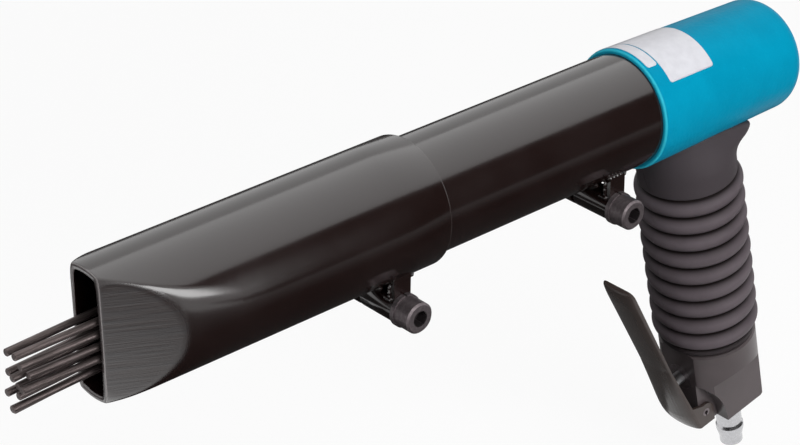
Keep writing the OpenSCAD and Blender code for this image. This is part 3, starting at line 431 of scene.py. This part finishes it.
def collar_radius(turn, s):
    """Distance of the collar's wall from the handle's axis, with the turn counted from the front."""
    g = GRIP
    low = g["waist_r"] - g["tail_set"] + 1
    small = low + (g["tail_r"] - low) * math.exp(-(max(0.0, s - g["tail_edge"]) / TAIL_FADE) ** TAIL_POWER)
    over = min(g["edge"], max(0.0, s - g["collar_end"] + g["edge"]))
    cut = g["edge"] - math.sqrt(g["edge"] ** 2 - over ** 2)
    big, small = g["waist_r"] - cut, small - cut
    back = abs(math.pi - abs(turn))
    touch = math.acos((big - small) / g["tail_set"])
    if back >= touch:
        return big
    if back >= math.atan2(small * math.sin(touch), g["tail_set"] + small * math.cos(touch)):
        return big / math.cos(back - touch)
    return g["tail_set"] * math.cos(back) + math.sqrt(small ** 2 - (g["tail_set"] * math.sin(back)) ** 2)


def collar_point(turn, s, inset=0.0):
    """A point of the collar's wall, which narrows sideways toward the head."""
    r = collar_radius(turn, s) - inset
    narrow = 1 - NARROW / GRIP["waist_r"] * smooth_step(NARROW_FROM - s, 0, NARROW_RUN)
    return r * math.cos(turn), r * math.sin(turn) * narrow, s


def at(turn, r, s):
    return r * math.cos(turn), r * math.sin(turn), s


def bore_point(turn, s):
    return at(turn, GRIP["bore_r"], s)


def saddle_height(turn, point_at):
    """How far down the handle a wall of the collar leaves the head."""
    low, high = 0.0, 45.0
    for _ in range(30):
        s = (low + high) / 2
        f, y, _ = point_at(turn, s)
        x = X_HANDLE / MM + s * math.sin(RAKE) - f * math.cos(RAKE)
        z = -s * math.cos(RAKE) - f * math.sin(RAKE)
        if math.hypot(y, z) < head_radius(x) + SADDLE_GAP:
            low = s
        else:
            high = s
    return high


def rib_radius(s):
    """Radius of the round ribs, with a deep crease between each two."""
    g = GRIP
    centre = g["rib_r"] - g["rib_round"]
    k = min(g["ribs"] - 1, max(0, round((s - g["rib_first"]) / g["rib_pitch"])))
    off = s - g["rib_first"] - k * g["rib_pitch"]
    bulge = centre + math.sqrt(max(0.0, g["rib_round"] ** 2 - off ** 2))
    floor = centre + math.sqrt(g["rib_round"] ** 2 - (g["rib_pitch"] / 2) ** 2)
    crease = CREASE_DEEP * hump(max(0.0, g["rib_pitch"] / 2 - abs(off)), CREASE_WIDE)
    return soft_max(bulge, floor, 0.2) - crease


def with_notch(r, s):
    """A radius less the groove between the collar and the first rib."""
    return r - NOTCH_DEEP * hump(s - NOTCH_AT, NOTCH_WIDE)


def seam(turn, s):
    """A fine mould seam down the grip's front, small nicks on the ribs and a curved mark on the collar."""
    off = math.degrees(turn)
    ridge = SEAM_HIGH * hump(off, SEAM_WIDE)
    nick = 0.0
    for k, (share, side, deep) in enumerate(NICKS):
        mid = GRIP["rib_first"] + k * GRIP["rib_pitch"] + NICK_SPREAD * share
        nick += deep * hump(off - side, NICK_WIDE) * hump(s - mid, NICK_LONG)
    mark = 0.0
    if MARK_TOP < s < MARK_END:
        line = 10.5 - 6.5 * ((s - 34.5) / 7) ** 2
        fade = min(1.0, (s - MARK_TOP) / MARK_FADE, (MARK_END - s) / MARK_FADE)
        mark = MARK_DEEP * hump(off - line, MARK_WIDE) * fade
    return ridge - nick - mark


def grip_column(turn, rib_steps):
    """Points at one turn from the top of the bore, over the collar and the ribs, to the bore's foot."""
    g = GRIP
    top = saddle_height(turn, collar_point)
    edge = LIP + TAIL_LIP * smooth_step(math.degrees(abs(turn)), *TAIL_TURN)
    column = [bore_point(turn, saddle_height(turn, bore_point) + 0.05)]
    for bend in (0.0, 0.25, 0.5, 0.7, 0.87):
        bend *= math.pi / 2
        s, inset = top + edge * (1 - math.cos(bend)), edge * (1 - math.sin(bend))
        column.append(collar_point(turn, s, inset))
    wall_top = top + edge
    column += [collar_point(turn, wall_top + (FINE_FROM - wall_top) * k / 8) for k in range(8)]
    for k in range(37):
        s = FINE_FROM + (g["collar_end"] - 0.02 - FINE_FROM) * k / 36
        if s < ROUND_FROM:
            column.append(collar_point(turn, s, -seam(turn, s)))
            continue
        rib = rib_radius(s) if s > RIBS_FROM else 0.0
        r = soft_max(collar_radius(turn, s) + seam(turn, s), rib, 0.4)
        column.append(at(turn, with_notch(r, s), s))
    for s in rib_steps:
        skirt = collar_radius(turn, g["collar_end"]) - 2.2 * (s - g["collar_end"])
        r = soft_max(rib_radius(s) + seam(turn, s), skirt, 0.4)
        column.append(at(turn, with_notch(r, s), s))
    end, foot = g["end"], g["foot_r"]
    low = end - g["foot_h"]
    for r, s in ((foot - 0.95, low + 0.15), (foot - 0.35, low + 0.4), (foot, low + 1.1),
                 (foot, end - 1.0), (foot - 0.15, end - 0.45), (foot - 0.6, end - 0.08),
                 (foot - 1.0, end), (g["bore_r"], end)):
        column.append(at(turn, r, s))
    return column


def make_grip(material):
    """The grip in columns of points, closer together where the seam and the mark are."""
    g = GRIP
    turns = [math.radians(a / 10) for a in range(-120, 145, 4)]
    wide = 2 * math.pi - (turns[-1] - turns[0])
    turns += [turns[-1] + wide * k / 210 for k in range(1, 210)]
    turns = [(turn + math.pi) % (2 * math.pi) - math.pi for turn in turns]
    shares = [0.0, 0.05, 0.1, 0.15, 0.2] + [0.25 + 0.5 * k / 14 for k in range(15)] + [0.8, 0.85, 0.9, 0.95]
    rib_steps = [g["rib_first"] + g["rib_pitch"] * (k - 0.5 + p) for k in range(g["ribs"]) for p in shares]
    rib_steps = [s for s in rib_steps if s > g["collar_end"]] + [g["end"] - g["foot_h"] - 0.15]
    columns = [grip_column(turn, rib_steps) for turn in turns]
    rows, count = len(columns[0]), len(columns)
    points = [HANDLE @ (Vector(columns[j][i]) * MM) / MM for i in range(rows) for j in range(count)]
    grip = mesh_object("grip_cover", points, grid_faces(rows, count, flip=True), material)
    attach(grip, "tool")
    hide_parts("grip_sleeve")


# Front tube, drawn round the barrel's axis: its ground nose runs softly into the round tube
MIN_SIDE = 0.02
NOSE_LEN, NOSE_ROWS = 50.0, 82
TURN_STEPS = 460


def nose_half(run):
    """Half the nose's width at a distance behind the mouth."""
    g = FRONT
    soft = g["mouth"] + g["slope"] * g["soft_at"]
    return soft_min(g["mouth"] + g["slope"] * run, soft + (run - g["soft_at"]) * g["soft_slope"], 1.2)


def front_radius(turn, run):
    """Outer radius, with an edge of the flat that is soft at the mouth and toward the round tube."""
    side = max(MIN_SIDE, abs(math.sin(turn)))
    blend = 1.5 + 4.5 * math.exp(-run / 2.5) + 4.2 * smooth_step(run, 8, 32)
    return soft_min(FRONT["r"], nose_half(run) / side, blend)


def front_bore(turn, run):
    """Inner radius, with corners that are soft at the mouth."""
    side = max(MIN_SIDE, abs(math.sin(turn)))
    blend = 0.3 + 2.7 * smooth_step(32 - run, 0, 10) + 3.5 * math.exp(-run / 6)
    return soft_min(FRONT["bore_r"], (nose_half(run) - FRONT["wall"]) / side, blend)


def make_front_tube(material):
    """The tube as rings from the mouth to its rear end and back inside, open along the clamp's slit."""
    g = FRONT
    half_slit = math.asin(g["slit"] / 2 / g["r"])
    first, last = -math.pi + half_slit, math.pi - half_slit
    turns = [first + (last - first) * k / TURN_STEPS for k in range(TURN_STEPS + 1)]
    length, slit_end = g["length"], g["length"] - g["slit_len"]
    edge = 0.45
    outer = [(0.0, 0.4), (0.14, 0.12), (edge, 0.0)]
    outer += [(edge + (NOSE_LEN - edge) * k / NOSE_ROWS, 0.0) for k in range(1, NOSE_ROWS + 1)]
    outer += [(run, 0.0) for run in (62.0, 90.0, slit_end, 130.0, length - 0.6)]
    outer += [(length - 0.2, 0.12), (length, 0.5)]
    inner = [length, 130.0, slit_end, 90.0, 62.0] + [NOSE_LEN - 2 * k for k in range(24)] + [2.0, 0.6, 0.1]
    rings = [(run, front_radius, -cut) for run, cut in outer]
    rings += [(run, front_bore, 0.25 if run < 0.3 else 0.0) for run in inner]
    points = []
    for run, radius_at, grow in rings:
        for a in turns:
            r = radius_at(a, run) + grow
            points.append((X_MOUTH / MM + run, r * math.sin(a), r * math.cos(a)))
    rows, count = len(rings), len(turns)
    # The slit is open from the ring at its end, over the tube's rear edge, to the same ring inside
    open_from = len(outer) - 5
    open_to = len(outer) + 2
    skip = {(i, count - 1) for i in range(open_from, open_to)}
    faces = grid_faces(rows, count, skip=skip)
    ring = list(range(open_from, open_to + 1))
    faces.append([i * count for i in ring])
    faces.append([i * count + count - 1 for i in reversed(ring)])
    a, b = open_from * count, open_to * count
    faces.append((a + count - 1, a, b, b + count - 1))
    tube = mesh_object("front_tube_enamel", points, faces, material)
    for face in list(tube.data.polygons)[-3:]:
        face.use_smooth = False
    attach(tube, "front_tube")
    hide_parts("front_tube")


def ring_along_y(profile, centre, steps=64):
    """A closed ring round a line along Y, from pairs of radius and height."""
    points = []
    for r, y in profile:
        points += [(centre[0] + r * math.sin(2 * math.pi * k / steps), y,
                    centre[1] + r * math.cos(2 * math.pi * k / steps)) for k in range(steps)]
    return points, grid_faces(len(profile), steps)


def joined(parts):
    """The points and faces of several parts as one mesh."""
    points, faces = [], []
    for p, f in parts:
        faces += [tuple(i + len(points) for i in face) for face in f]
        points += p
    return points, faces


def make_front_lugs(material):
    """The two lugs of the front tube's clamp and the ribs that tie them to it."""
    g = FRONT
    centre = screw_place(g)
    r, bore, inside, outside = g["lug_r"], g["lug_bore"], g["slit"] / 2, g["lug_half"]
    parts = []
    for side in (-1, 1):
        half = [(bore, inside), (r - 0.4, inside), (r, inside + 0.4), (r, outside - 0.5),
                (r - 0.15, outside - 0.15), (r - 0.5, outside), (bore, outside)]
        profile = [(ring_r, side * y) for ring_r, y in half]
        parts.append(ring_along_y(profile if side < 0 else profile[::-1], centre))
    lugs = mesh_object("front_lugs", *joined(parts), material)
    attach(lugs, "front_tube")
    rib_wide, rib_flare, rib_thick, rib_gap = 8.3, 1.08, 2.9, 0.1
    low, high, rise = centre[1] + r - 1.6, centre[1] + 13.2, 1.4
    for side in (-1, 1):
        bm = bmesh.new()
        bmesh.ops.create_cube(bm, size=1.0)
        for v in bm.verts:
            inner = v.co.y * side < 0
            v.co.x = (centre[0] + v.co.x * rib_wide * (1.0 if v.co.z < 0 else rib_flare)) * MM
            v.co.y = side * (outside - rib_gap - (rib_thick if inner else 0.0)) * MM
            v.co.z = (low if v.co.z < 0 else high + (0.0 if inner else rise)) * MM
        bmesh.ops.bevel(bm, geom=bm.edges[:], offset=0.4 * MM, segments=3, affect="EDGES", profile=0.5)
        bmesh.ops.recalc_face_normals(bm, faces=bm.faces[:])
        mesh = bpy.data.meshes.new("front_rib")
        bm.to_mesh(mesh)
        bm.free()
        mesh.materials.append(material)
        rib = placed("front_rib_" + ("near" if side < 0 else "far"), mesh)
        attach(rib, "front_tube")


# Weld beads at the clamps


def bead(path, radius, seed, sides=12):
    """A lumpy bead along a path of points, closed at both ends."""
    points = []
    steps = len(path)
    for i, p in enumerate(path):
        p = Vector(p)
        along = (Vector(path[min(i + 1, steps - 1)]) - Vector(path[max(i - 1, 0)])).normalized()
        across = along.cross(Vector((1, 0, 0) if abs(along.x) < 0.8 else (0, 0, 1))).normalized()
        other = along.cross(across)
        fill = math.sqrt(max(0.02, 1 - (2 * i / (steps - 1) - 1) ** 6))
        for k in range(sides):
            a = 2 * math.pi * k / sides
            lump = 1 + 0.2 * math.sin(1.9 * i + seed) + 0.13 * math.sin(3.1 * i + 2 * a + 2 * seed)
            lump += 0.1 * math.sin(3 * a + seed * i)
            points.append(p + (across * math.cos(a) + other * math.sin(a)) * radius * fill * lump)
    return points, rod_faces(steps, sides)


def make_welds(name, body, material, tube):
    """Beads where a clamp's lugs and ribs meet its tube."""
    screw_x, axis = screw_place(tube)
    rib_y, top_y, foot_z = 17.1, 18.6, axis + 5.0

    def on_tube(y, out=0.2):
        return -math.sqrt(tube["r"] ** 2 - y ** 2) - out

    lug_run = [2.2 + 0.6 * k for k in range(25)]
    rib_run = [13.6 + 0.5 * k for k in range(11)]
    climb = [foot_z + (on_tube(rib_y) - foot_z) * k / 10 for k in range(11)]
    top_run = [-4.6 + 0.6 * k for k in range(16)]
    beads = []
    for side in (-1, 1):
        for end in (-1, 1):
            lug = [(screw_x + end * (3.0 + 0.02 * y * y), side * y, on_tube(y) - 0.15) for y in lug_run]
            beads.append(bead(lug, 1.15, side + 3 * end))
            foot = [(screw_x + end * 4.2, side * y, axis + 4.75 + 0.06 * (y - 16) ** 2) for y in rib_run]
            beads.append(bead(foot, 1.0, 5 + side - end))
            edge = [(screw_x + end * 4.3, side * rib_y, z) for z in climb]
            beads.append(bead(edge, 0.75, 8 + side + end))
        top = [(screw_x + x, side * top_y, on_tube(top_y, 0.5)) for x in top_run]
        beads.append(bead(top, 1.2, 11 + side))
    welds = mesh_object(name, *joined(beads), material)
    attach(welds, body)


def make_sticker(name, x_low, x_high, turn_low, turn_high, material):
    """A thin blank sticker with round corners on the head's tapered side."""
    corner, rows, columns = 1.3, 24, 60
    mean_r, lift, thin = 25.5, 0.14, 0.012
    points = []
    for i in range(rows + 1):
        x = x_low + (x_high - x_low) * (0.5 - 0.5 * math.cos(math.pi * i / rows))
        off = max(0.0, corner - min(x - x_low, x_high - x))
        trim = (corner - math.sqrt(max(0.0, corner ** 2 - off ** 2))) / mean_r
        first_turn = math.radians(turn_low) + trim
        sweep = math.radians(turn_high - turn_low) - 2 * trim
        r = head_radius(x) + lift
        for j in range(columns + 1):
            a = first_turn + sweep * j / columns
            points.append((x, r * math.sin(a), r * math.cos(a)))
    top = len(points)
    points += [(x, y * (1 - thin), z * (1 - thin)) for x, y, z in points]
    wide = columns + 1
    faces = []
    for i in range(rows):
        for j in range(columns):
            a = i * wide + j
            faces.append((a, a + 1, a + wide + 1, a + wide))
            faces.append((top + a, top + a + wide, top + a + wide + 1, top + a + 1))
    edge = list(range(wide)) + [i * wide + columns for i in range(1, rows + 1)]
    edge += [rows * wide + j for j in range(columns - 1, -1, -1)]
    edge += [i * wide for i in range(rows - 1, 0, -1)]
    for k, a in enumerate(edge):
        b = edge[(k + 1) % len(edge)]
        faces.append((a, top + a, top + b, b))
    sticker = mesh_object(name, points, faces, material)
    for face in list(sticker.data.polygons)[-len(edge):]:
        face.use_smooth = False
    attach(sticker, "tool")


# Springs, drawn as coils in place of their CAD nodes, from a foot on the tool to the part at their far end
RETURN_FOOT = (-275 * MM, 0, 0)
VALVE_FOOT = HANDLE @ (Vector((-14.0, 0, 148.8)) * MM)
FORWARD = HANDLE.to_3x3() @ Vector((1, 0, 0))


def make_spring(name, node, foot, axis, wire, turns, material):
    """A coil with closed ends, in the space of its CAD node, from a foot on the tool to a moving body."""
    foot, axis = Vector(foot), Vector(axis).normalized()
    spots = [v.co - foot for v in NODES[node].data.vertices]
    length = max(p.dot(axis) for p in spots)
    radius = max((p - axis * p.dot(axis)).length for p in spots) - wire / 2
    across = axis.cross(Vector((0, 1, 0))).normalized()
    other = axis.cross(across)
    closed, per_turn, sides = 0.8, 28, 10
    low_pitch = 1.03 * wire
    pitch = (length - wire - 2 * closed * low_pitch) / (turns - 2 * closed)
    points, steps = [], turns * per_turn + 1
    for i in range(steps):
        u = i / per_turn
        open_turns = min(max(u - closed, 0), turns - 2 * closed)
        rise = wire / 2 + pitch * open_turns + low_pitch * (u - open_turns)
        out = across * math.cos(2 * math.pi * u) + other * math.sin(2 * math.pi * u)
        for k in range(sides):
            a = 2 * math.pi * k / sides
            p = foot + axis * (rise + wire / 2 * math.sin(a)) + out * (radius + wire / 2 * math.cos(a))
            points.append(p / MM)
    spring = mesh_object(name, points, rod_faces(steps, sides), material)
    bm = bmesh.new()
    bm.from_mesh(spring.data)
    bmesh.ops.recalc_face_normals(bm, faces=bm.faces[:])
    bm.to_mesh(spring.data)
    bm.free()
    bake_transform(spring)
    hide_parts(node)


# Stage in metres: world, floor, soft lights and dark cards
FLOOR_Z = -0.215
FLOOR_HALF = 6.0
CARD_LOW, CARD_MID, CARD_UNDER = FLOOR_Z + 0.002, -0.1, -0.07
LEAST_GLOW = 0.03
WHITE = (1, 1, 1, 1)


def seen_white(tree):
    """One for the rays that show the background: camera, glossy and transmission."""
    path = add(tree, "ShaderNodeLightPath").outputs
    both = math_node(tree, "MAXIMUM", path["Is Camera Ray"], path["Is Glossy Ray"])
    return math_node(tree, "MAXIMUM", both, path["Is Transmission Ray"])


def level_sheet(x_low, y_low, x_high, y_high, z):
    """The corners of a flat sheet at one height."""
    return (x_low, y_low, z), (x_high, y_low, z), (x_high, y_high, z), (x_low, y_high, z)


def make_world():
    world = bpy.data.worlds.new("studio")
    bpy.context.scene.world = world
    world.use_nodes = True
    tree = world.node_tree
    background = tree.nodes["Background"]
    background.inputs["Color"].default_value = WHITE
    tree.links.new(span(tree, seen_white(tree), 0, 1, 0.2, 1.0), background.inputs["Strength"])


def make_floor():
    """White paper, which glows for the rays that show the background and throws little light back."""
    mesh = bpy.data.meshes.new("floor")
    half = FLOOR_HALF
    mesh.from_pydata(level_sheet(-half, -half, half, half, FLOOR_Z), [], [(0, 1, 2, 3)])
    floor = placed("floor", mesh)
    m, t, s, place = start("floor_paper")
    paper = colours(t, noise(t, place, 3.0, 3), (0.84, 0.84, 0.84), (0.88, 0.88, 0.88))
    bounced = add(t, "ShaderNodeLightPath").outputs["Is Diffuse Ray"]
    put(t, s, Base_Color=colours(t, bounced, paper, (0.3, 0.3, 0.3)), Roughness=0.9)
    glow = add(t, "ShaderNodeEmission", {"Color": WHITE, "Strength": 1.0})
    mixed = add(t, "ShaderNodeMixShader", {"Fac": span(t, seen_white(t), 0, 1, 0, 0.9)})
    t.links.new(s.outputs[0], mixed.inputs[1])
    t.links.new(glow.outputs[0], mixed.inputs[2])
    t.links.new(mixed.outputs[0], t.nodes["Material Output"].inputs["Surface"])
    mesh.materials.append(m)


def soft_light(name, place, aim, size, watts, mirrored=True):
    data = bpy.data.lights.new(name, "AREA")
    data.shape = "RECTANGLE"
    data.size, data.size_y = size
    data.energy = watts
    o = placed(name, data)
    o.location = place
    o.rotation_euler = (Vector(aim) - Vector(place)).to_track_quat("-Z", "Y").to_euler()
    o.visible_glossy = mirrored
    o.visible_camera = False
    return data


def make_lights():
    """A wide light above, brighter toward one edge, and two smaller ones in front."""
    key = soft_light("key", place=(0.4, -0.05, 1.25), aim=(0.4, -0.05, 0), size=(3.2, 2.5), watts=17.0)
    key.use_nodes = True
    t = key.node_tree
    on_light = add(t, "ShaderNodeNewGeometry").outputs["Parametric"]
    across = add(t, "ShaderNodeSeparateXYZ", {"Vector": on_light}).outputs["Y"]
    t.links.new(span(t, across, 0.0, 1.0, 0.3, 1.55), t.nodes["Emission"].inputs["Strength"])
    soft_light("front", place=(-0.08, -1.4, 0.33), aim=(-0.15, 0, -0.02), size=(0.85, 0.55), watts=9.0)
    soft_light("fill", place=(-0.4, -1.2, 0.85), aim=(-0.1, 0, -0.08), size=(1.2, 1.0), watts=13.0,
               mirrored=False)


def make_card(name, corners, near, far):
    """A dark card that only reflections see, with its glow at the near and the far edge."""
    dark, t, _, place = start(name)
    y = add(t, "ShaderNodeSeparateXYZ", {"Vector": place}).outputs["Y"]
    level = span(t, y, corners[0][1], max(c[1] for c in corners) + 0.001, near, far)
    level = math_node(t, "MAXIMUM", level, LEAST_GLOW)
    glow = add(t, "ShaderNodeEmission", {"Color": WHITE, "Strength": level})
    t.links.new(glow.outputs[0], t.nodes["Material Output"].inputs["Surface"])
    mesh = bpy.data.meshes.new(name)
    mesh.from_pydata(corners, [], [tuple(range(len(corners)))])
    mesh.materials.append(dark)
    card = placed(name, mesh)
    card.visible_camera = card.visible_diffuse = card.visible_transmission = card.visible_shadow = False


def make_cards():
    """Cards for the dark room round the tool."""
    low, mid = CARD_LOW, CARD_MID
    upright = (0.45, -1.25, low), (3, -1.25, low), (3, -1.25, 1.2), (0.45, -1.25, 1.2)
    beside_lever = (-0.3, -0.03), (-0.085, -0.03), (-0.06, 0.035), (0.1, 0.05), (0.1, 0.3), (-0.3, 0.3)
    for name, corners, near, far in (
        ("card_front", upright, 0.03, 0.03),
        ("card_beside", level_sheet(0.1, -1.25, 3, -0.3, low), 0.03, 0.06),
        ("card_below", level_sheet(-0.35, -0.35, -0.13, 0.08, mid), 0.3, -0.28),
        ("card_rear", level_sheet(-0.13, -0.35, 0.3, -0.045, mid), 0.3, -0.13),
        ("card_under", level_sheet(-0.18, -0.08, 0.02, 0.1, CARD_UNDER), 0.04, 0.04),
        ("card_nose", level_sheet(-0.6, -0.8, -0.36, 0.0, mid), -6.6, 3.0),
        ("card_lever", [(x, y, low) for x, y in beside_lever], 0.15, 0.1),
        ("card_far", level_sheet(0.1, 0.05, 1.5, 0.32, low), 0.06, 0.06),
        ("card_behind", level_sheet(-3, 0.32, 3, 3, low), 0.05, 0.05),
    ):
        make_card(name, corners, near, far)


make_camera()
WEAR = dress_nodes()
make_grip(WEAR["grip_sleeve"])
make_front_tube(WEAR["front_tube"])
make_front_lugs(WEAR["barrel_tube"])
make_welds("front_welds", "front_tube", WEAR["barrel_tube"], FRONT)
make_welds("barrel_welds", "tool", WEAR["barrel_tube"], BARREL)
make_spring("return_coil", "return_spring", foot=RETURN_FOOT, axis=(1, 0, 0),
            wire=3.2 * MM, turns=7, material=WEAR["return_spring"])
make_spring("valve_coil", "valve_spring", foot=VALVE_FOOT, axis=FORWARD,
            wire=1.1 * MM, turns=5, material=WEAR["valve_spring"])
PAPER = pale_sticker()
make_sticker("front_strip_sticker", x_low=-86.6, x_high=-80.9, turn_low=-29.0, turn_high=44.0,
             material=PAPER)
make_sticker("top_sticker", x_low=-80.2, x_high=-54.3, turn_low=-49.8, turn_high=44.0, material=PAPER)
make_world()
make_floor()
make_lights()
make_cards()
bpy.context.scene.view_settings.view_transform = "Standard"
